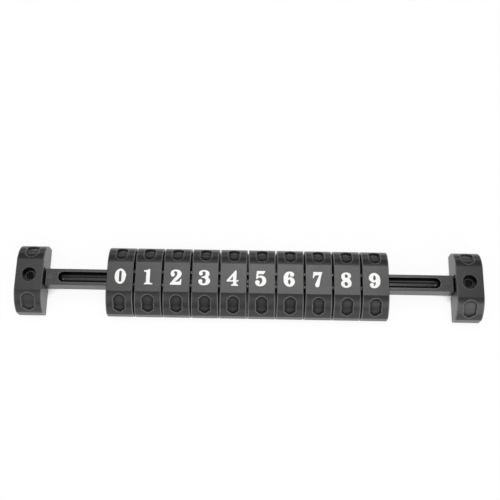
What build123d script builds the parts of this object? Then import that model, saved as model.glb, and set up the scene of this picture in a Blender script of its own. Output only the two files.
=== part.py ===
from build123d import *
from math import cos, hypot, pi, sin
import os

# A foosball score counter: ten number blocks that slide along a flat rail
# between two end brackets, each bracket held to the table by one screw.
# X runs along the rail, Y from front to back, Z up from the table.
# All sizes are millimetres.

# Shape shared by brackets and counters, seen from the end
overall_length = 254.0
base_width = 38.2
side_bulge = 1.95
crease_radius = 0.4
edge_radius = 0.3

# End brackets
bracket_length = 14.9
bracket_height = 15.5
bracket_flat_width = 17.4
bracket_foot_height = 6.2
bracket_skin = 2.0

# Screw holes in the brackets, for a 3.9 mm pan head screw
screw_hole_radius = 2.2
counterbore_radius = 3.9
counterbore_depth = 3.2
cup_wall = 1.2
cup_floor = 1.4
boss_wall = 1.3
boss_rib = 2.4

# Rail
rail_width = 9.2
rail_height = 9.1
rail_underside = 2.6
rail_edge_radius = 0.4
rail_end_gap = 0.8
slot_headroom = 2.3
groove_width = 5.8
groove_depth = 3.6
groove_floor_radius = 2.5
groove_end_land = 6.8
core_depth = 3.4

# Rail feet, the ends that stand inside the brackets under the screws
neck_step = 0.55
foot_top = 8.6
foot_reach = 4.5
foot_wall = 1.6
foot_roof = 1.8
foot_clearance = 0.3
screw_clearance = 0.15

# Counters
counter_count = 10
counter_pitch = 15.45
gap_at_top = 1.0
gap_at_foot = 0.5
table_clearance = 0.45
counter_height = 14.05
counter_flat_width = 16.5
counter_foot_height = 5.0
counter_skin = 2.2
channel_clearance = 0.3
channel_wall = 1.4
channel_floor = 1.4
row_offset = -0.8

# Finger dimples on both curved sides, equally deep all over
dimple_depth = 1.1
dimple_length = 10.3
dimple_point = 2.4
dimple_crown = 1.9
dimple_corner_radius = 0.9
dimple_floor_radius = 0.45
dimple_rim_radius = 0.5
counter_dimple_width = 5.9
bracket_dimple_width = 6.5

# Numerals, a thin raised layer on each flat, printed a little off the middle
numeral_height = 8.6
numeral_thickness = 0.12
numeral_shifts = (0.3, 0.0, -0.4, -0.4, -0.45, -0.65, -0.65, -0.7, -0.6, -0.65)

# Places that follow from the sizes above
half_length = overall_length / 2
bracket_inner_face = half_length - bracket_length
screw_x = half_length - bracket_length / 2
rail_end = bracket_inner_face - rail_end_gap
rail_top = rail_underside + rail_height
counter_top = table_clearance + counter_height
channel_half = rail_width / 2 + channel_clearance
channel_roof = rail_top + channel_clearance
channel_base = rail_underside - channel_clearance


def slope(height, flat_width, foot_height):
    """Front slope of the outline: its two ends, and its middle, radius and direction out."""
    low = (-base_width / 2, foot_height)
    high = (-flat_width / 2, height)
    run = high[0] - low[0]
    rise = high[1] - low[1]
    length = hypot(run, rise)
    out = (-rise / length, run / length)
    middle = (
        (low[0] + high[0]) / 2 + out[0] * side_bulge,
        (low[1] + high[1]) / 2 + out[1] * side_bulge,
    )
    radius = (length**2 / 4 + side_bulge**2) / (2 * side_bulge)
    return low, high, middle, radius, out


def outline(height, flat_width, foot_height):
    """Outline seen from the end: upright foot walls, bulging slopes and a flat top."""
    low, high, middle, radius, out = slope(height, flat_width, foot_height)
    base = base_width / 2
    edges = [
        Line((-base, 0), low),
        ThreePointArc(low, middle, high),
        Line(high, (-high[0], high[1])),
        ThreePointArc((-high[0], high[1]), (-middle[0], middle[1]), (-low[0], low[1])),
        Line((-low[0], low[1]), (base, 0)),
        Line((base, 0), (-base, 0)),
    ]
    return Plane.YZ * make_face(edges)


def slab(x0, x1, y0, y1, z0, z1):
    """Box between two corners."""
    size = (x1 - x0, y1 - y0, z1 - z0)
    return Pos((x0 + x1) / 2, (y0 + y1) / 2, (z0 + z1) / 2) * Box(*size)


def upright(x, y, radius, z0, z1):
    """Upright cylinder between two heights."""
    return Pos(x, y, (z0 + z1) / 2) * Cylinder(radius, z1 - z0)


def hollow(shape, skin, length):
    """Space inside the skin, open at the underside."""
    inside = offset(outline(*shape), -skin, kind=Kind.INTERSECTION)
    core = extrude(inside, length / 2, both=True)
    mouth = base_width / 2 - skin
    return core + slab(-length / 2, length / 2, -mouth, mouth, 0, 2 * skin)


def soften(body):
    """Round the creases along the top and slopes, then the rim of both end faces."""
    creases = body.edges().filter_by(Axis.X)
    body = fillet(creases.filter_by(lambda e: e.center().Z > crease_radius), crease_radius)
    ends = body.faces().sort_by(Axis.X)
    rim = ends[0].edges() + ends[-1].edges()
    return fillet(rim.filter_by(lambda e: e.center().Z > edge_radius), edge_radius)


def dimple_cutter(shape, width):
    """Cutter for the front finger dimple, whose floor follows the curved slope."""
    low, high, middle, radius, out = slope(*shape)
    half = width / 2
    top = dimple_length / 2
    rim = make_face(
        [
            ThreePointArc((half, top - dimple_crown), (0, top), (-half, top - dimple_crown)),
            Line((-half, top - dimple_crown), (-half, dimple_point - top)),
            Line((-half, dimple_point - top), (0, -top)),
            Line((0, -top), (half, dimple_point - top)),
            Line((half, dimple_point - top), (half, top - dimple_crown)),
        ]
    )
    corners = rim.vertices().sort_by(Axis.Y)[:3]
    rim = fillet(corners, dimple_corner_radius)
    cutter = extrude(rim, radius + dimple_depth)
    cutter -= Rot(0, 90, 0) * Cylinder(radius - dimple_depth, 2 * width)
    floor = cutter.faces().sort_by(Axis.Z)[0]
    cutter = fillet(floor.edges(), dimple_floor_radius)
    middle_line = (0, middle[0] - out[0] * radius, middle[1] - out[1] * radius)
    return Plane(origin=middle_line, x_dir=(1, 0, 0), z_dir=(0, *out)) * cutter


def cut_dimples(body, shape, width):
    """Cut the finger dimples into the front and back slopes and round their rims."""
    front = dimple_cutter(shape, width)
    body -= front + mirror(front, Plane.XZ)
    low, high, middle, radius, out = slope(*shape)
    axis_y = middle[0] - out[0] * radius
    axis_z = middle[1] - out[1] * radius

    def on_rim(edge):
        spots = [edge @ 0, edge @ 0.5, edge @ 1]
        near = [abs(hypot(abs(p.Y) + axis_y, p.Z - axis_z) - radius) < 0.01 for p in spots]
        inside = [abs(p.X) < width / 2 + 0.01 for p in spots]
        return all(near) and all(inside)

    return fillet(body.edges().filter_by(on_rim), dimple_rim_radius)


def make_groove(depth):
    """Cutter for a long round-ended groove with a round floor, its mouth at zero."""
    length = 2 * (rail_end - groove_end_land)
    groove = extrude(SlotOverall(length, groove_width), -depth)
    return fillet(groove.faces().sort_by(Axis.Z)[0].edges(), groove_floor_radius)


def make_rail():
    """Rail with a long groove on top, one beneath to core it, and a hollow foot at each end."""
    body = slab(-rail_end, rail_end, -rail_width / 2, rail_width / 2, rail_underside, rail_top)
    body = fillet(body.edges().filter_by(Axis.X), rail_edge_radius)

    body -= Pos(0, 0, rail_top) * make_groove(groove_depth)
    body -= Pos(0, 0, rail_underside) * Rot(180, 0, 0) * make_groove(core_depth)

    for side in (0, 180):
        body += Rot(0, 0, side) * make_rail_foot()
    return body


def make_rail_foot():
    """Right-hand rail foot, which stands on the table under the bracket's screw boss."""
    half = rail_width / 2 - neck_step
    start = bracket_inner_face + foot_clearance
    end = screw_x + foot_reach
    foot = slab(start, end, -half, half, 0, foot_top)
    cavity = half - foot_wall
    foot -= slab(start + foot_wall, end - foot_wall, -cavity, cavity, 0, foot_top - foot_roof)
    hole = screw_hole_radius + screw_clearance
    foot += upright(screw_x, 0, hole + foot_wall, 0, foot_top)
    foot -= upright(screw_x, 0, hole, 0, foot_top)
    neck = slab(rail_end, start, -half, half, rail_underside, foot_top)
    return foot + neck


def make_bracket():
    """Right-hand end bracket: a shell open below, with a screw cup and boss in its roof."""
    length = bracket_length
    shape = (bracket_height, bracket_flat_width, bracket_foot_height)
    body = extrude(outline(*shape), length / 2, both=True)
    body = soften(body)
    body = cut_dimples(body, shape, bracket_dimple_width)
    body -= hollow(shape, bracket_skin, length - 2 * bracket_skin)

    cup_bottom = bracket_height - counterbore_depth - cup_floor
    roof = bracket_height - bracket_skin
    body += upright(0, 0, counterbore_radius + cup_wall, cup_bottom, roof)
    body += upright(0, 0, screw_hole_radius + boss_wall, foot_top, roof)
    inner_end = length / 2 - bracket_skin
    body += slab(0, inner_end, -boss_rib / 2, boss_rib / 2, foot_top, roof)

    body -= upright(0, 0, counterbore_radius, bracket_height - counterbore_depth, bracket_height)
    body -= upright(0, 0, screw_hole_radius, foot_top, bracket_height)
    body -= slab(-length / 2, -inner_end, -channel_half, channel_half, 0, rail_top + slot_headroom)
    return body


def make_counter():
    """Sliding number block, a drafted shell with a square passage for the rail."""
    wide = counter_pitch - gap_at_foot
    narrow = counter_pitch - gap_at_top
    shape = (counter_height, counter_flat_width, counter_foot_height)
    body = extrude(outline(*shape), wide, both=True)
    sides = Polygon(
        (-wide / 2, 0),
        (wide / 2, 0),
        (narrow / 2, counter_height),
        (-narrow / 2, counter_height),
        align=None,
    )
    body &= extrude(Plane.XZ * sides, base_width, both=True)
    body = soften(body)
    body = cut_dimples(body, shape, counter_dimple_width)
    body -= hollow(shape, counter_skin, narrow - 2 * counter_skin)

    passage_low = channel_base - table_clearance
    passage_high = channel_roof - table_clearance
    inner = narrow / 2 - counter_skin
    block = channel_half + channel_wall
    body += slab(-inner, inner, -block, block, 0, counter_height - edge_radius)
    body -= slab(-wide, wide, -channel_half, channel_half, passage_low, passage_high)
    body -= slab(-inner, inner, -channel_half, channel_half, 0, passage_low - channel_floor)
    return body


def oval(cx, cy, rx, ry, tilt=0):
    """Eight points round an ellipse, as one closed run of a numeral."""
    turn = tilt * pi / 180
    run = []
    for step in range(8):
        angle = step * pi / 4
        u = rx * cos(angle)
        v = ry * sin(angle)
        run.append((cx + u * cos(turn) - v * sin(turn), cy + u * sin(turn) + v * cos(turn)))
    return [run]


# Numerals in a fat serif style, drawn on a grid of tenths of a millimetre about
# their middle. Each outline is a list of runs, and a run is the points that one
# edge passes after the end of the run before it: one point makes a straight
# edge, more points a smooth curve. The first outline is filled, the rest are holes.
NUMERALS = {
    0: [
        oval(0, 0, 31, 44),
        [
            [(-7, 25)],
            [(-4.5, 30), (0, 32), (4.5, 30), (7, 25)],
            [(7, -25)],
            [(4.5, -30), (0, -32), (-4.5, -30), (-7, -25)],
        ],
    ],
    1: [
        [
            [(25, -42)],
            [(25, -35.5)],
            [(15, -34), (10.5, -31), (9.5, -26)],
            [(9.5, 45)],
            [(4, 45)],
            [(-3, 41.5), (-12, 39), (-24, 38.5)],
            [(-24, 30)],
            [(-15, 29), (-12, 27), (-11, 22)],
            [(-11, -26)],
            [(-12, -31), (-15.5, -34), (-21, -35.5)],
            [(-21, -42)],
        ],
    ],
    2: [
        [
            [(25.5, -42)],
            [(26, -8)],
            [(21, -8)],
            [(18, -17), (13, -23)],
            [(-9, -25.5)],
            [
                (3, -13.5), (15, -3), (23, 8), (26.5, 22), (22, 35), (11, 43.5), (-4.5, 46.5),
                (-20, 44), (-31, 36), (-35, 24), (-32, 12), (-24, 6), (-15, 9), (-11.5, 18),
                (-13.5, 26), (-18, 31),
            ],
            [(-14, 35.5), (-7, 36.5), (0, 32), (2.5, 23), (0.5, 13), (-5, 4), (-13, -5)],
            [(-36, -35)],
            [(-36, -42)],
        ],
    ],
    3: [
        [
            [(-9, 1), (1, -4), (5, -16), (2, -27), (-7, -33), (-14, -30), (-16, -24)],
            [
                (-15, -17), (-18, -10.5), (-25, -8), (-33.5, -11), (-37, -20), (-33, -33),
                (-21, -41), (-6, -43), (12, -40), (25, -31), (29.5, -18), (26, -4), (16, 5),
            ],
            [
                (22, 13), (25, 25), (20.5, 38), (10, 45), (-5, 47.5), (-22, 44.5), (-33, 36),
                (-35.5, 26), (-31, 17.5), (-23, 15), (-16, 19), (-14, 27), (-17, 33),
            ],
            [(-13, 38), (-6, 38.5), (1, 34.5), (3.5, 26), (0, 15), (-9, 10)],
            [(-19.5, 7)],
            [(-19.5, 1)],
        ],
    ],
    4: [
        [
            [(22.5, -43)],
            [(22.5, -35.5)],
            [(16, -34), (13.7, -31), (13, -27)],
            [(13, -19)],
            [(20, -18.5), (25, -15)],
            [(25, -9)],
            [(20, -10.5), (13, -10.5)],
            [(13, 46)],
            [(6, 46)],
            [(-41, -11)],
            [(-41, -18.5)],
            [(-5, -18.5)],
            [(-5, -27)],
            [(-5.7, -31), (-9, -34), (-16.5, -35.5)],
            [(-16.5, -43)],
        ],
        [
            [(-6.5, -10.5)],
            [(-6.5, 14)],
            [(-24, -10.5)],
        ],
    ],
    5: [
        [
            [(-22.5, 28)],
            [(5.5, 28)],
            [(10.5, 34), (17.5, 46)],
            [(-31, 46)],
            [(-35, 0)],
            [(-29.5, -1.5)],
            [(-23, 5), (-13, 8), (-4.5, 4), (-0.5, -8), (-3, -20), (-9, -29), (-16.5, -32.5)],
            [
                (-16, -26), (-14.5, -19), (-18.5, -10.5), (-27.5, -7.5), (-36.5, -11),
                (-40, -20), (-36, -32), (-27, -39.5), (-13, -42.5), (4, -39.5), (17, -28),
                (22, -11), (18, 5), (8, 15), (-8.5, 19), (-22, 15),
            ],
        ],
    ],
    6: [
        [
            [(-11.5, 19), (-8, 29), (0.5, 37.5)],
            [
                (-1.5, 31), (-1.5, 24), (4, 18), (12, 16.5), (19.5, 20), (22.5, 29),
                (19, 38.5), (10, 45), (-3, 47), (-18, 43.5), (-31, 32), (-37.5, 15),
                (-38, -3), (-34.5, -22), (-24, -36.5), (-7, -44), (11, -40.5), (23, -29),
                (27, -14), (22, 1), (12, 10.5), (0, 13.5), (-12.5, 9),
            ],
        ],
        oval(-5, -15, 7.5, 15),
    ],
    7: [
        [
            [(-32, 46)],
            [(-35.5, 9.5)],
            [(-29, 9.5)],
            [(-27, 17), (-24, 22.5), (-19, 26)],
            [(1, 27)],
            [
                (-5, 12), (-14, -8), (-20, -22), (-22, -32), (-19, -40), (-10.5, -43.5),
                (-1.5, -40.5), (2.5, -31), (4.5, -15), (10, 12), (19, 46),
            ],
        ],
    ],
    8: [
        [
            [
                (15, 16), (18.5, 26.5), (15, 38), (5, 45), (-9, 47), (-23, 44.5), (-34, 36),
                (-37.5, 24), (-35, 10), (-27, -1),
            ],
            [
                (-36, -10), (-39, -22), (-34, -35), (-22, -42.5), (-9, -44), (7, -41),
                (18, -31), (21, -18), (18, -3), (8, 10),
            ],
        ],
        oval(-8.5, 25, 8.5, 11, 15),
        oval(-9.5, -21.5, 9.5, 12, 20),
    ],
}
# A nine is a six turned upside down
NUMERALS[9] = [[[(-x, -y) for x, y in run] for run in path] for path in NUMERALS[6]]


def numeral_face(path):
    """Face inside one closed path of runs."""
    if len(path) == 1:
        return make_face(Spline(*path[0], periodic=True))
    edges = []
    last = path[-1][-1]
    for run in path:
        points = [last] + run
        edges.append(Line(*points) if len(points) == 2 else Spline(*points))
        last = run[-1]
    return make_face(edges)


def make_numeral(digit):
    """One numeral as a thin layer, its middle over the origin and its underside at zero."""
    filled, *holes = NUMERALS[digit]
    face = numeral_face(filled)
    for path in holes:
        face -= numeral_face(path)
    face = scale(face, numeral_height / face.bounding_box().size.Y)
    middle = face.bounding_box().center()
    return extrude(Pos(-middle.X, -middle.Y) * face, numeral_thickness)


# Write one STEP file per piece
os.makedirs("parts", exist_ok=True)
bracket = Pos(screw_x, 0, 0) * make_bracket()
pieces = {
    "rail": make_rail(),
    "end_bracket_right": bracket,
    "end_bracket_left": Rot(0, 0, 180) * bracket,
}
counter = make_counter()
for index in range(counter_count):
    x = row_offset + (index - (counter_count - 1) / 2) * counter_pitch
    pieces[f"counter_{index}"] = Pos(x, 0, table_clearance) * counter
    pieces[f"numeral_{index}"] = Pos(x + numeral_shifts[index], 0, counter_top) * make_numeral(index)
for name, piece in pieces.items():
    export_step(piece, f"parts/{name}.step")
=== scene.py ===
from math import cos, pi, radians, sin

import bpy
from mathutils import Matrix, Vector


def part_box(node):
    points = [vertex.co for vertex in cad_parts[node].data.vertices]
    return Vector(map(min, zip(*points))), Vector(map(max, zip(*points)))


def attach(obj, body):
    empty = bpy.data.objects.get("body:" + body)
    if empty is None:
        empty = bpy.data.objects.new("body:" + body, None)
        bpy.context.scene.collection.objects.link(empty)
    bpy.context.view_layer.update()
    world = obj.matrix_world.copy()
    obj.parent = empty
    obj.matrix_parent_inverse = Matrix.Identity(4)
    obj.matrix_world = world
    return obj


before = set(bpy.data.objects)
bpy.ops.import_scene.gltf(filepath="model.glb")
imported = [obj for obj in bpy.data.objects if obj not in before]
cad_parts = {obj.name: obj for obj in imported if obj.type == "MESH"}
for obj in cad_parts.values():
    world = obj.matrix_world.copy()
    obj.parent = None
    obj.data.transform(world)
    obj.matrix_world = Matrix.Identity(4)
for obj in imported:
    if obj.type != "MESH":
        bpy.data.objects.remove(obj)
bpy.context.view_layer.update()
MM = 0.001
scene = bpy.context.scene


# Small helpers for node trees

def add(tree, kind, at=(0, 0), **settings):
    """A new node with the given properties."""
    node = tree.nodes.new(kind)
    node.location = at
    for name, value in settings.items():
        setattr(node, name, value)
    return node


def feed(tree, pairs):
    """Links each pair of sockets."""
    for source, target in pairs:
        tree.links.new(source, target)


def group_tree(name, kind, inputs, outputs):
    """An empty node group with named inputs (name, type, default) and outputs (name, type)."""
    tree = bpy.data.node_groups.new(name, kind)
    for label, socket, default in inputs:
        made = tree.interface.new_socket(label, in_out="INPUT", socket_type=socket)
        if default is not None:
            made.default_value = default
    for label, socket in outputs:
        tree.interface.new_socket(label, in_out="OUTPUT", socket_type=socket)
    start = add(tree, "NodeGroupInput", (-900, 0))
    end = add(tree, "NodeGroupOutput", (900, 0))
    return tree, start, end


# Shader groups

def moulded_grain():
    """Fine spark-eroded grain of a moulded face, as a height, with a slow unevenness in gloss.

    The grain size is in millimetres.
    """
    tree, start, end = group_tree(
        "Moulded grain",
        "ShaderNodeTree",
        [("Grain size", "NodeSocketFloat", 0.25), ("Unevenness", "NodeSocketFloat", 0.06)],
        [("Height", "NodeSocketFloat"), ("Gloss change", "NodeSocketFloat")],
    )
    coords = add(tree, "ShaderNodeTexCoord", (-900, 300))
    per_metre = add(tree, "ShaderNodeMath", (-700, 0), operation="DIVIDE")
    per_metre.inputs[0].default_value = 1 / MM
    fine = add(tree, "ShaderNodeTexNoise", (-450, 200))
    fine.inputs["Detail"].default_value = 3.0
    fine.inputs["Roughness"].default_value = 0.6
    slow = add(tree, "ShaderNodeTexNoise", (-450, -100))
    slow.inputs["Scale"].default_value = 90.0
    slow.inputs["Detail"].default_value = 4.0
    centred = add(tree, "ShaderNodeMath", (-200, -100), operation="SUBTRACT")
    centred.inputs[1].default_value = 0.5
    change = add(tree, "ShaderNodeMath", (0, -100), operation="MULTIPLY")
    feed(tree, [
        (start.outputs["Grain size"], per_metre.inputs[1]),
        (coords.outputs["Object"], fine.inputs["Vector"]),
        (coords.outputs["Object"], slow.inputs["Vector"]),
        (per_metre.outputs[0], fine.inputs["Scale"]),
        (slow.outputs["Fac"], centred.inputs[0]),
        (centred.outputs[0], change.inputs[0]),
        (start.outputs["Unevenness"], change.inputs[1]),
        (fine.outputs["Fac"], end.inputs["Height"]),
        (change.outputs[0], end.inputs["Gloss change"]),
    ])
    return tree


def worn_and_highlit_edges():
    """Normal of the small rounds along every moulded edge, and a mask of the edges that are paler, partly
    from rubbing and partly as a painted highlight.

    The mask is full a little way past the distance front to back that fingers touch from.
    """
    fresh_edge = 0.96
    worn_and_highlit_edge = 0.78
    least_wear_and_highlight = 0.15
    touch_fade = 2.5 * MM
    tree, start, end = group_tree(
        "Worn edges and painted highlight",
        "ShaderNodeTree",
        [
            ("Radius", "NodeSocketFloat", 0.2 * MM),
            ("Wear reach", "NodeSocketFloat", 0.7 * MM),
            ("Patchiness", "NodeSocketFloat", 0.5),
            ("Touched from", "NodeSocketFloat", 0.0),
        ],
        [("Normal", "NodeSocketVector"), ("Wear and highlight", "NodeSocketFloat")],
    )
    bevel = add(tree, "ShaderNodeBevel", (-600, 200), samples=6)
    depth = add(tree, "ShaderNodeAmbientOcclusion", (-600, 0), samples=8, inside=True, only_local=True)
    edge = add(tree, "ShaderNodeMapRange", (-350, 0), interpolation_type="SMOOTHSTEP")
    edge.inputs["From Min"].default_value = fresh_edge
    edge.inputs["From Max"].default_value = worn_and_highlit_edge
    coords = add(tree, "ShaderNodeTexCoord", (-600, -250))
    patches = add(tree, "ShaderNodeTexNoise", (-400, -250))
    patches.inputs["Scale"].default_value = 700.0
    patches.inputs["Detail"].default_value = 3.0
    lost = add(tree, "ShaderNodeMath", (-150, -250), operation="MULTIPLY")
    kept = add(tree, "ShaderNodeMath", (50, -200), operation="SUBTRACT")
    kept.inputs[0].default_value = 1.0
    place = add(tree, "ShaderNodeSeparateXYZ", (-400, -500))
    off_middle = add(tree, "ShaderNodeMath", (-200, -500), operation="ABSOLUTE")
    fully = add(tree, "ShaderNodeMath", (-200, -700), operation="ADD")
    fully.inputs[1].default_value = touch_fade
    touched = add(tree, "ShaderNodeMapRange", (50, -500), interpolation_type="SMOOTHSTEP")
    touched.inputs["To Min"].default_value = least_wear_and_highlight
    handled = add(tree, "ShaderNodeMath", (250, -350), operation="MULTIPLY")
    # The edge mask marks rubbed edges and also paints a highlight along the rims
    wear_and_highlight = add(tree, "ShaderNodeMath", (450, -50), operation="MULTIPLY", use_clamp=True)
    feed(tree, [
        (start.outputs["Radius"], bevel.inputs["Radius"]),
        (start.outputs["Wear reach"], depth.inputs["Distance"]),
        (depth.outputs["AO"], edge.inputs["Value"]),
        (coords.outputs["Object"], patches.inputs["Vector"]),
        (patches.outputs["Fac"], lost.inputs[0]),
        (start.outputs["Patchiness"], lost.inputs[1]),
        (lost.outputs[0], kept.inputs[1]),
        (coords.outputs["Object"], place.inputs[0]),
        (place.outputs["Y"], off_middle.inputs[0]),
        (off_middle.outputs[0], touched.inputs["Value"]),
        (start.outputs["Touched from"], touched.inputs["From Min"]),
        (start.outputs["Touched from"], fully.inputs[0]),
        (fully.outputs[0], touched.inputs["From Max"]),
        (touched.outputs["Result"], handled.inputs[0]),
        (kept.outputs[0], handled.inputs[1]),
        (edge.outputs["Result"], wear_and_highlight.inputs[0]),
        (handled.outputs[0], wear_and_highlight.inputs[1]),
        (bevel.outputs["Normal"], end.inputs["Normal"]),
        (wear_and_highlight.outputs[0], end.inputs["Wear and highlight"]),
    ])
    return tree


def painted_recess_shade():
    """Mask of recesses such as holes, grooves and dimples, where painted shade darkens the colour and
    dims the reflections, and the finish is smoother.

    Lightest and darkest are the shares of open sky between which the mask grows.
    """
    tree, start, end = group_tree(
        "Painted recess shade",
        "ShaderNodeTree",
        [
            ("Reach", "NodeSocketFloat", 6 * MM),
            ("Lightest", "NodeSocketFloat", 0.95),
            ("Darkest", "NodeSocketFloat", 0.5),
        ],
        [("Recess", "NodeSocketFloat")],
    )
    open_sky = add(tree, "ShaderNodeAmbientOcclusion", (-400, 0), samples=8, only_local=True)
    painted_shade_mask = add(tree, "ShaderNodeMapRange", (0, 0), interpolation_type="SMOOTHSTEP")
    feed(tree, [
        (start.outputs["Reach"], open_sky.inputs["Distance"]),
        (start.outputs["Lightest"], painted_shade_mask.inputs["From Min"]),
        (start.outputs["Darkest"], painted_shade_mask.inputs["From Max"]),
        (open_sky.outputs["AO"], painted_shade_mask.inputs["Value"]),
        (painted_shade_mask.outputs["Result"], end.inputs["Recess"]),
    ])
    return tree


def fine_dust():
    """Sparse pale specks that lie on faces that look up, with their size in millimetres."""
    tree, start, end = group_tree(
        "Fine dust",
        "ShaderNodeTree",
        [("Amount", "NodeSocketFloat", 0.1), ("Speck size", "NodeSocketFloat", 0.6)],
        [("Dust", "NodeSocketFloat")],
    )
    coords = add(tree, "ShaderNodeTexCoord", (-900, 300))
    per_metre = add(tree, "ShaderNodeMath", (-700, 100), operation="DIVIDE")
    per_metre.inputs[0].default_value = 1 / MM
    cells = add(tree, "ShaderNodeTexVoronoi", (-450, 200))
    near = add(tree, "ShaderNodeMapRange", (-200, 200), interpolation_type="SMOOTHSTEP")
    near.inputs["From Min"].default_value = 0.10
    near.inputs["From Max"].default_value = 0.02
    patches = add(tree, "ShaderNodeTexNoise", (-450, -100))
    patches.inputs["Scale"].default_value = 60.0
    patches.inputs["Detail"].default_value = 3.0
    some = add(tree, "ShaderNodeMapRange", (-200, -100))
    some.inputs["From Min"].default_value = 0.5
    some.inputs["From Max"].default_value = 0.75
    face = add(tree, "ShaderNodeNewGeometry", (-450, -350))
    split = add(tree, "ShaderNodeSeparateXYZ", (-200, -350))
    up = add(tree, "ShaderNodeMath", (0, -350), operation="MAXIMUM")
    up.inputs[1].default_value = 0.0
    sparse = add(tree, "ShaderNodeMath", (150, 100), operation="MULTIPLY")
    lying = add(tree, "ShaderNodeMath", (350, 0), operation="MULTIPLY")
    faint = add(tree, "ShaderNodeMath", (550, 0), operation="MULTIPLY")
    feed(tree, [
        (start.outputs["Speck size"], per_metre.inputs[1]),
        (coords.outputs["Object"], cells.inputs["Vector"]),
        (per_metre.outputs[0], cells.inputs["Scale"]),
        (coords.outputs["Object"], patches.inputs["Vector"]),
        (cells.outputs["Distance"], near.inputs["Value"]),
        (patches.outputs["Fac"], some.inputs["Value"]),
        (face.outputs["Normal"], split.inputs[0]),
        (split.outputs["Z"], up.inputs[0]),
        (near.outputs["Result"], sparse.inputs[0]),
        (some.outputs["Result"], sparse.inputs[1]),
        (sparse.outputs[0], lying.inputs[0]),
        (up.outputs[0], lying.inputs[1]),
        (lying.outputs[0], faint.inputs[0]),
        (start.outputs["Amount"], faint.inputs[1]),
        (faint.outputs[0], end.inputs["Dust"]),
    ])
    return tree


GRAIN = moulded_grain()
EDGES = worn_and_highlit_edges()
DUST = fine_dust()
PAINTED_SHADE = painted_recess_shade()


def use(tree, group, at, **values):
    """Places a shader group and sets its inputs; an underscore in a name stands for a space."""
    node = add(tree, "ShaderNodeGroup", at, node_tree=group)
    for name, value in values.items():
        node.inputs[name.replace("_", " ")].default_value = value
    return node


def black_plastic(name, tone, wear_and_highlight_tone, touched_from, rough, grain, edge_radius, dust, shade_limits):
    """Satin black moulded plastic, paler on rubbed edges where a painted highlight lies too, with painted
    shade in recesses that darkens the colour and dims the reflections, and smoother there.

    Grain is its size in millimetres and its depth; shade limits are the two limits of the mask for
    painted shade in recesses.
    """
    grain_size, grain_depth = grain
    # Painted shade in recesses: the share of the tone left there
    painted_shade_share = 0.2
    painted_shade_tone = tone * painted_shade_share
    dust_colour = (0.5, 0.49, 0.47, 1)
    worn_gloss = -0.06
    recess_gloss = -0.10
    painted_reflection_dimming = 0.6
    material = bpy.data.materials.new(name)
    material.use_nodes = True
    tree = material.node_tree
    shader = tree.nodes["Principled BSDF"]
    shader.inputs["IOR"].default_value = 1.5
    texture = use(tree, GRAIN, (-1100, -300), Grain_size=grain_size, Unevenness=0.08)
    edges = use(tree, EDGES, (-1100, 0), Radius=edge_radius, Touched_from=touched_from)
    specks = use(tree, DUST, (-1100, 300), Amount=dust, Speck_size=0.5)
    painted_shade_mask = use(tree, PAINTED_SHADE, (-1100, 600), Lightest=shade_limits[0], Darkest=shade_limits[1])

    # Painted shade: the colour darkens in recesses
    body = add(tree, "ShaderNodeMix", (-700, 500), data_type="RGBA")
    body.inputs["A"].default_value = (tone, tone, tone * 1.02, 1)
    body.inputs["B"].default_value = (painted_shade_tone, painted_shade_tone, painted_shade_tone, 1)
    # Paler edges: partly rubbed plastic, partly a painted highlight along the rims
    wear_and_highlight_colour = add(tree, "ShaderNodeMix", (-500, 400), data_type="RGBA")
    wear_and_highlight_colour.inputs["B"].default_value = (wear_and_highlight_tone, wear_and_highlight_tone, wear_and_highlight_tone, 1)
    dusty = add(tree, "ShaderNodeMix", (-250, 300), data_type="RGBA")
    dusty.inputs["B"].default_value = dust_colour

    smooth = add(tree, "ShaderNodeMath", (-700, 0), operation="MULTIPLY")
    smooth.inputs[1].default_value = worn_gloss
    cored = add(tree, "ShaderNodeMath", (-700, 150), operation="MULTIPLY")
    cored.inputs[1].default_value = recess_gloss
    # Painted shade on reflections: metallic over a black colour dims them in recesses
    reflection_dimmer = add(tree, "ShaderNodeMath", (-700, 800), operation="MULTIPLY")
    reflection_dimmer.inputs[1].default_value = painted_reflection_dimming
    rough_a = add(tree, "ShaderNodeMath", (-500, 0), operation="ADD")
    rough_a.inputs[1].default_value = rough
    rough_b = add(tree, "ShaderNodeMath", (-320, 0), operation="ADD")
    rough_c = add(tree, "ShaderNodeMath", (-140, 0), operation="ADD", use_clamp=True)

    bump = add(tree, "ShaderNodeBump", (-300, -300))
    bump.inputs["Strength"].default_value = 0.5
    bump.inputs["Distance"].default_value = grain_depth
    feed(tree, [
        (painted_shade_mask.outputs["Recess"], body.inputs["Factor"]),
        (body.outputs["Result"], wear_and_highlight_colour.inputs["A"]),
        (edges.outputs["Wear and highlight"], wear_and_highlight_colour.inputs["Factor"]),
        (wear_and_highlight_colour.outputs["Result"], dusty.inputs["A"]),
        (specks.outputs["Dust"], dusty.inputs["Factor"]),
        (dusty.outputs["Result"], shader.inputs["Base Color"]),
        (edges.outputs["Wear and highlight"], smooth.inputs[0]),
        (painted_shade_mask.outputs["Recess"], cored.inputs[0]),
        (painted_shade_mask.outputs["Recess"], reflection_dimmer.inputs[0]),
        (reflection_dimmer.outputs[0], shader.inputs["Metallic"]),
        (smooth.outputs[0], rough_a.inputs[0]),
        (rough_a.outputs[0], rough_b.inputs[0]),
        (cored.outputs[0], rough_b.inputs[1]),
        (rough_b.outputs[0], rough_c.inputs[0]),
        (texture.outputs["Gloss change"], rough_c.inputs[1]),
        (rough_c.outputs[0], shader.inputs["Roughness"]),
        (texture.outputs["Height"], bump.inputs["Height"]),
        (edges.outputs["Normal"], bump.inputs["Normal"]),
        (bump.outputs["Normal"], shader.inputs["Normal"]),
    ])
    return material


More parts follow.
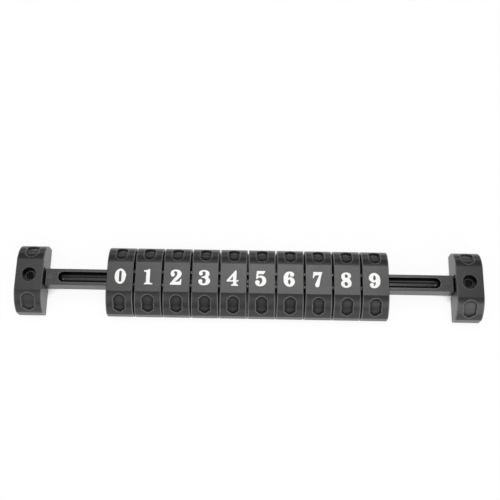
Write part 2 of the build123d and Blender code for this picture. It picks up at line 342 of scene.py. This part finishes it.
def add_sliding_wear(material, streak_tone):
    """Fine streaks along the rail where the counters rub, laid over its plastic."""
    streaks_per_metre = (25.0, 2600.0, 2600.0)
    strongest = 0.6
    tree = material.node_tree
    shader = tree.nodes["Principled BSDF"]
    colour = shader.inputs["Base Color"].links[0].from_socket
    coords = add(tree, "ShaderNodeTexCoord", (-900, 700))
    stretch = add(tree, "ShaderNodeVectorMath", (-700, 700), operation="MULTIPLY")
    stretch.inputs[1].default_value = streaks_per_metre
    streaks = add(tree, "ShaderNodeTexNoise", (-500, 700))
    streaks.inputs["Scale"].default_value = 1.0
    streaks.inputs["Detail"].default_value = 4.0
    sharp = add(tree, "ShaderNodeMapRange", (-300, 700), interpolation_type="SMOOTHSTEP")
    sharp.inputs["From Min"].default_value = 0.52
    sharp.inputs["From Max"].default_value = 0.70
    sharp.inputs["To Max"].default_value = strongest
    rubbed = add(tree, "ShaderNodeMix", (-50, 500), data_type="RGBA")
    rubbed.inputs["B"].default_value = (streak_tone, streak_tone, streak_tone, 1)
    feed(tree, [
        (coords.outputs["Object"], stretch.inputs[0]),
        (stretch.outputs[0], streaks.inputs["Vector"]),
        (streaks.outputs["Fac"], sharp.inputs["Value"]),
        (sharp.outputs["Result"], rubbed.inputs["Factor"]),
        (colour, rubbed.inputs["A"]),
        (rubbed.outputs["Result"], shader.inputs["Base Color"]),
    ])


def white_print(name):
    """Opaque white printing ink, laid a little unevenly."""
    thin_ink = (0.84, 0.84, 0.83, 1)
    thick_ink = (0.89, 0.89, 0.88, 1)
    ink_roughness = 0.38
    material = bpy.data.materials.new(name)
    material.use_nodes = True
    tree = material.node_tree
    shader = tree.nodes["Principled BSDF"]
    shader.inputs["IOR"].default_value = 1.5
    grain = use(tree, GRAIN, (-900, -300), Grain_size=0.35, Unevenness=0.15)
    rough = add(tree, "ShaderNodeMath", (-300, 0), operation="ADD")
    rough.inputs[1].default_value = ink_roughness
    tint = add(tree, "ShaderNodeMapRange", (-600, 300))
    tint.inputs["From Min"].default_value = 0.3
    tint.inputs["From Max"].default_value = 0.7
    ink = add(tree, "ShaderNodeMix", (-300, 300), data_type="RGBA")
    ink.inputs["A"].default_value = thin_ink
    ink.inputs["B"].default_value = thick_ink
    bump = add(tree, "ShaderNodeBump", (-300, -300))
    bump.inputs["Strength"].default_value = 0.3
    bump.inputs["Distance"].default_value = 0.02 * MM
    feed(tree, [
        (grain.outputs["Height"], tint.inputs["Value"]),
        (tint.outputs["Result"], ink.inputs["Factor"]),
        (ink.outputs["Result"], shader.inputs["Base Color"]),
        (grain.outputs["Gloss change"], rough.inputs[0]),
        (rough.outputs[0], shader.inputs["Roughness"]),
        (grain.outputs["Height"], bump.inputs["Height"]),
        (bump.outputs["Normal"], shader.inputs["Normal"]),
    ])
    return material


# How far from the middle, front to back, fingers rub the edges paler; these paler edges also carry a
# painted highlight
SLOPES = 7.5 * MM
EVERYWHERE = -10 * MM

# Shares of open sky between which painted shade darkens a recess
SHALLOW = (1.0, 0.78)
DEEP = (0.95, 0.5)

# Each paler edge tone below is partly a painted highlight along the rims
COUNTER_PLASTIC = black_plastic(
    "Counter black plastic", tone=0.013, wear_and_highlight_tone=0.19, touched_from=SLOPES, rough=0.30,
    grain=(0.22, 0.04 * MM), edge_radius=0.18 * MM, dust=0.10, shade_limits=SHALLOW,
)
BRACKET_PLASTIC = black_plastic(
    "Bracket black plastic", tone=0.013, wear_and_highlight_tone=0.20, touched_from=SLOPES, rough=0.29,
    grain=(0.25, 0.04 * MM), edge_radius=0.18 * MM, dust=0.08, shade_limits=DEEP,
)
RAIL_PLASTIC = black_plastic(
    "Rail black plastic", tone=0.013, wear_and_highlight_tone=0.06, touched_from=EVERYWHERE, rough=0.27,
    grain=(0.20, 0.02 * MM), edge_radius=0.15 * MM, dust=0.05, shade_limits=DEEP,
)
PIN_FACE = black_plastic(
    "Smooth pin mark plastic", tone=0.015, wear_and_highlight_tone=0.03, touched_from=EVERYWHERE, rough=0.26,
    grain=(0.30, 0.01 * MM), edge_radius=0.10 * MM, dust=0.03, shade_limits=DEEP,
)
add_sliding_wear(RAIL_PLASTIC, 0.035)
INK = white_print("White numeral ink")

for name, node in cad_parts.items():
    if name.startswith("counter"):
        finish = COUNTER_PLASTIC
    elif name.startswith("end_bracket"):
        finish = BRACKET_PLASTIC
    elif name.startswith("numeral"):
        finish = INK
    else:
        finish = RAIL_PLASTIC
    for place in node.material_slots:
        place.material = finish


# Round marks that ejector pins leave on moulded faces

def pin_mark_tree():
    """A straight row of low round pads with a lip, the middle of the row over the origin."""
    tree, start, end = group_tree(
        "Pin marks",
        "GeometryNodeTree",
        [
            ("Count", "NodeSocketInt", 2),
            ("Step", "NodeSocketVector", None),
            ("Radius", "NodeSocketFloat", 1.3 * MM),
            ("Depth", "NodeSocketFloat", 0.2 * MM),
            ("Lip", "NodeSocketFloat", 0.05 * MM),
            ("Finish", "NodeSocketMaterial", None),
        ],
        [("Geometry", "NodeSocketGeometry")],
    )
    gaps = add(tree, "ShaderNodeMath", (-700, 200), operation="SUBTRACT")
    gaps.inputs[1].default_value = 1.0
    half = add(tree, "ShaderNodeMath", (-550, 200), operation="MULTIPLY")
    half.inputs[1].default_value = -0.5
    first = add(tree, "ShaderNodeVectorMath", (-400, 200), operation="SCALE")
    row = add(tree, "GeometryNodeMeshLine", (-200, 200), mode="OFFSET")
    narrow = add(tree, "ShaderNodeMath", (-550, -100), operation="SUBTRACT")
    pad = add(tree, "GeometryNodeMeshCone", (-200, -100))
    pad.inputs["Vertices"].default_value = 48
    place = add(tree, "GeometryNodeInstanceOnPoints", (50, 100))
    solid = add(tree, "GeometryNodeRealizeInstances", (250, 100))
    finish = add(tree, "GeometryNodeSetMaterial", (450, 100))
    feed(tree, [
        (start.outputs["Count"], gaps.inputs[0]),
        (gaps.outputs[0], half.inputs[0]),
        (start.outputs["Step"], first.inputs[0]),
        (half.outputs[0], first.inputs["Scale"]),
        (start.outputs["Count"], row.inputs["Count"]),
        (first.outputs[0], row.inputs["Start Location"]),
        (start.outputs["Step"], row.inputs["Offset"]),
        (start.outputs["Radius"], narrow.inputs[0]),
        (start.outputs["Lip"], narrow.inputs[1]),
        (narrow.outputs[0], pad.inputs["Radius Top"]),
        (start.outputs["Radius"], pad.inputs["Radius Bottom"]),
        (start.outputs["Depth"], pad.inputs["Depth"]),
        (row.outputs["Mesh"], place.inputs["Points"]),
        (pad.outputs["Mesh"], place.inputs["Instance"]),
        (place.outputs["Instances"], solid.inputs["Geometry"]),
        (solid.outputs["Geometry"], finish.inputs["Geometry"]),
        (start.outputs["Finish"], finish.inputs["Material"]),
        (finish.outputs["Geometry"], end.inputs["Geometry"]),
    ])
    return tree


def grown(name, tree, inputs, place):
    """A plain mesh piece made by a geometry tree with these inputs, moved to its place."""
    seed = bpy.data.objects.new(name + "_seed", bpy.data.meshes.new(name + "_seed"))
    scene.collection.objects.link(seed)
    growth = seed.modifiers.new("growth", "NODES")
    growth.node_group = tree
    for item in tree.interface.items_tree:
        if item.in_out == "INPUT" and item.name in inputs:
            growth[item.identifier] = inputs[item.name]
    bpy.context.view_layer.update()
    ready = seed.evaluated_get(bpy.context.evaluated_depsgraph_get())
    mesh = bpy.data.meshes.new_from_object(ready)
    mesh.name = name
    bpy.data.objects.remove(seed)
    mesh.transform(place)
    piece = bpy.data.objects.new(name, mesh)
    scene.collection.objects.link(piece)
    return piece


def pin_marks(name, body, count, step, radius, depth, place, finish):
    """A row of pin marks that rides on a body, with its place at the foot of the marks."""
    sizes = {"Count": count, "Step": step, "Radius": radius, "Depth": depth, "Finish": finish}
    piece = grown(name, PIN_MARKS, sizes, place)
    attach(piece, body)


PIN_MARKS = pin_mark_tree()
RAIL_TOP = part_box("rail")[1][2]
GROOVE_DEPTH = 3.6 * MM
FACE_DOWN = Matrix.Rotation(pi, 4, "X")

# Each row starts a little inside the face that it stands on
groove_row = Matrix.Translation((0, 0, RAIL_TOP - GROOVE_DEPTH - 0.1 * MM))
pin_marks(
    "groove_pin_marks", "frame", count=5, step=(37.75 * MM, 0, 0), radius=1.3 * MM, depth=0.32 * MM,
    place=groove_row, finish=RAIL_PLASTIC,
)

end_row = Matrix.Translation((0, 0, RAIL_TOP - 0.15 * MM))
pin_marks(
    "rail_end_pin_marks", "frame", count=2, step=(218.4 * MM, 0, 0), radius=1.7 * MM, depth=0.2 * MM,
    place=end_row, finish=PIN_FACE,
)

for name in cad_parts:
    if name.startswith("counter"):
        low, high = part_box(name)
        under = Matrix.Translation(((low[0] + high[0]) / 2, 0, low[2] + 0.5 * MM)) @ FACE_DOWN
        pin_marks(
            name + "_pin_marks", name, count=2, step=(0, 5.4 * MM, 0), radius=1.1 * MM, depth=0.2 * MM,
            place=under, finish=COUNTER_PLASTIC,
        )


# Stage: a white table, soft boxes and the camera

def seen_directly(tree, at):
    """A value of 1 for rays from the camera and for mirror or clear ones, else 0."""
    path = add(tree, "ShaderNodeLightPath", at)
    either = add(tree, "ShaderNodeMath", (at[0] + 200, at[1]), operation="MAXIMUM")
    any_of = add(tree, "ShaderNodeMath", (at[0] + 400, at[1]), operation="MAXIMUM")
    feed(tree, [
        (path.outputs["Is Camera Ray"], either.inputs[0]),
        (path.outputs["Is Glossy Ray"], either.inputs[1]),
        (either.outputs[0], any_of.inputs[0]),
        (path.outputs["Is Transmission Ray"], any_of.inputs[1]),
    ])
    return any_of.outputs[0]


def table_top(shade_reach, fade_start, fade_end):
    """A wide white table with a soft contact shadow, mirrored less and less towards the back.

    It is clear from below, and lamps under it reach the undersides.
    """
    half = 3.0
    white_paint = (0.85, 0.85, 0.85, 1)
    closed_in = 0.13
    wide_open = 0.55
    mirrored_near = 0.92
    mirrored_far = 0.05
    seen_level = 1.02
    glow_share = 0.9
    mesh = bpy.data.meshes.new("table")
    corners = [(-half, -half, 0), (half, -half, 0), (half, half, 0), (-half, half, 0)]
    mesh.from_pydata(corners, [], [(0, 1, 2, 3)])
    table = bpy.data.objects.new("table", mesh)
    scene.collection.objects.link(table)
    material = bpy.data.materials.new("White table")
    material.use_nodes = True
    tree = material.node_tree
    tree.nodes.remove(tree.nodes["Principled BSDF"])
    white = add(tree, "ShaderNodeBsdfDiffuse", (-300, 100))
    white.inputs["Color"].default_value = white_paint

    covered = add(tree, "ShaderNodeAmbientOcclusion", (-900, -200), samples=8)
    covered.inputs["Distance"].default_value = shade_reach
    open_air = add(tree, "ShaderNodeMapRange", (-650, -200), interpolation_type="SMOOTHSTEP")
    open_air.inputs["From Min"].default_value = closed_in
    open_air.inputs["From Max"].default_value = wide_open

    coords = add(tree, "ShaderNodeTexCoord", (-1500, -500))
    place = add(tree, "ShaderNodeSeparateXYZ", (-1000, -500))
    fade = add(tree, "ShaderNodeMapRange", (-500, -500), interpolation_type="SMOOTHSTEP")
    fade.inputs["From Min"].default_value = fade_start
    fade.inputs["From Max"].default_value = fade_end
    fade.inputs["To Min"].default_value = mirrored_near
    fade.inputs["To Max"].default_value = mirrored_far

    path = add(tree, "ShaderNodeLightPath", (-900, 300))
    level = add(tree, "ShaderNodeMix", (-250, -350))
    level.inputs["B"].default_value = seen_level
    strength = add(tree, "ShaderNodeMath", (-50, -250), operation="MULTIPLY")
    glow = add(tree, "ShaderNodeEmission", (-300, -100))
    share = add(tree, "ShaderNodeMath", (-300, 300), operation="MULTIPLY")
    share.inputs[1].default_value = glow_share
    both = add(tree, "ShaderNodeMixShader", (0, 100))
    clear = add(tree, "ShaderNodeBsdfTransparent", (0, -100))
    below = add(tree, "ShaderNodeNewGeometry", (-200, 450))
    let_through = add(tree, "ShaderNodeMath", (0, 400), operation="MAXIMUM")
    table_or_clear = add(tree, "ShaderNodeMixShader", (250, 100))
    feed(tree, [
        (covered.outputs["AO"], open_air.inputs["Value"]),
        (coords.outputs["Object"], place.inputs[0]),
        (place.outputs["Y"], fade.inputs["Value"]),
        (path.outputs["Is Camera Ray"], level.inputs["Factor"]),
        (fade.outputs["Result"], level.inputs["A"]),
        (level.outputs["Result"], strength.inputs[0]),
        (open_air.outputs["Result"], strength.inputs[1]),
        (strength.outputs[0], glow.inputs["Strength"]),
        (seen_directly(tree, (-900, 300)), share.inputs[0]),
        (share.outputs[0], both.inputs[0]),
        (white.outputs[0], both.inputs[1]),
        (glow.outputs[0], both.inputs[2]),
        (below.outputs["Backfacing"], let_through.inputs[0]),
        (path.outputs["Is Shadow Ray"], let_through.inputs[1]),
        (let_through.outputs[0], table_or_clear.inputs[0]),
        (both.outputs[0], table_or_clear.inputs[1]),
        (clear.outputs[0], table_or_clear.inputs[2]),
        (table_or_clear.outputs[0], tree.nodes["Material Output"].inputs["Surface"]),
    ])
    mesh.materials.append(material)


def softbox(name, azimuth, elevation, width, height, radiance):
    """A soft light at a bearing and height in degrees, aimed at the middle of the rail."""
    lamp = bpy.data.lights.new(name, "AREA")
    lamp.shape = "RECTANGLE"
    lamp.size = width
    lamp.size_y = height
    lamp.energy = radiance * width * height * pi
    holder = bpy.data.objects.new(name, lamp)
    bearing = Vector((cos(radians(azimuth)), sin(radians(azimuth)), 0)) * cos(radians(elevation))
    bearing.z = sin(radians(elevation))
    holder.location = bearing * LAMP_DISTANCE
    holder.rotation_euler = (-bearing).to_track_quat("-Z", "Y").to_euler()
    scene.collection.objects.link(holder)


def world_light(levels):
    """Room light by height, from 0 at the horizon to 1 straight up, that the camera sees as white."""
    world = bpy.data.worlds.new("Room")
    scene.world = world
    world.use_nodes = True
    tree = world.node_tree
    back = tree.nodes["Background"]
    coords = add(tree, "ShaderNodeTexCoord", (-800, 0))
    split = add(tree, "ShaderNodeSeparateXYZ", (-600, 0))
    ramp = add(tree, "ShaderNodeValToRGB", (-400, 0))
    ramp.color_ramp.interpolation = "EASE"
    stops = ramp.color_ramp.elements
    while len(stops) < len(levels):
        stops.new(0.5)
    for stop, (height, level) in zip(stops, levels):
        stop.position = height
        stop.color = (level, level, level, 1)
    white = add(tree, "ShaderNodeBackground", (0, -200))
    white.inputs["Color"].default_value = (1, 1, 1, 1)
    white.inputs["Strength"].default_value = 1.02
    both = add(tree, "ShaderNodeMixShader", (250, 0))
    path = add(tree, "ShaderNodeLightPath", (-200, 300))
    feed(tree, [
        (coords.outputs["Generated"], split.inputs[0]),
        (split.outputs["Z"], ramp.inputs["Fac"]),
        (ramp.outputs["Color"], back.inputs["Color"]),
        (path.outputs["Is Camera Ray"], both.inputs[0]),
        (back.outputs[0], both.inputs[1]),
        (white.outputs[0], both.inputs[2]),
        (both.outputs[0], tree.nodes["World Output"].inputs["Surface"]),
    ])


def make_camera(distance, tilt, turn, middle, lens):
    """Camera that looks down at the table, tilted back; the rail lies turned and off the middle."""
    data = bpy.data.cameras.new("camera")
    data.lens = lens
    data.sensor_width = 36.0
    data.clip_start = 0.01
    camera = bpy.data.objects.new("camera", data)
    scene.collection.objects.link(camera)
    seen_from = Matrix.Rotation(tilt, 4, "X") @ Matrix.Translation((0, 0, distance))
    camera.matrix_world = Matrix.Rotation(-turn, 4, "Z") @ Matrix.Translation(-Vector(middle)) @ seen_from
    scene.camera = camera


LAMP_DISTANCE = 0.75

# Name, bearing and height above the table in degrees, width and height in metres, radiance
SOFTBOXES = [
    ("overhead back softbox", 86, 66, 0.36, 0.34, 2.7),
    ("overhead right softbox", 66, 66, 0.28, 0.30, 2.5),
    ("overhead left softbox", 125, 66, 0.30, 0.30, 1.7),
    ("overhead front softbox", 270, 66, 0.30, 0.30, 0.6),
    ("front panel", 270, 40, 0.50, 0.50, 0.4),
    ("front left panel", 236, 42, 0.40, 0.70, 0.9),
    ("front right strip", 302, 28, 0.28, 0.70, 2.9),
    ("left softbox", 180, 45, 0.34, 0.34, 1.2),
    ("underside softbox", 90, -55, 0.60, 0.60, 2.3),
]

# Height and level of the room light
ROOM_LEVELS = [(0.0, 1.84), (0.35, 0.0), (0.7, 0.41)]

table_top(shade_reach=6 * MM, fade_start=25 * MM, fade_end=75 * MM)
for box in SOFTBOXES:
    softbox(*box)
world_light(ROOM_LEVELS)
make_camera(
    distance=0.48351,
    tilt=radians(18.4236),
    turn=radians(-1.04394),
    middle=(-0.4328 * MM, -21.1161 * MM, 0),
    lens=61.397,
)

scene.view_settings.view_transform = "Standard"
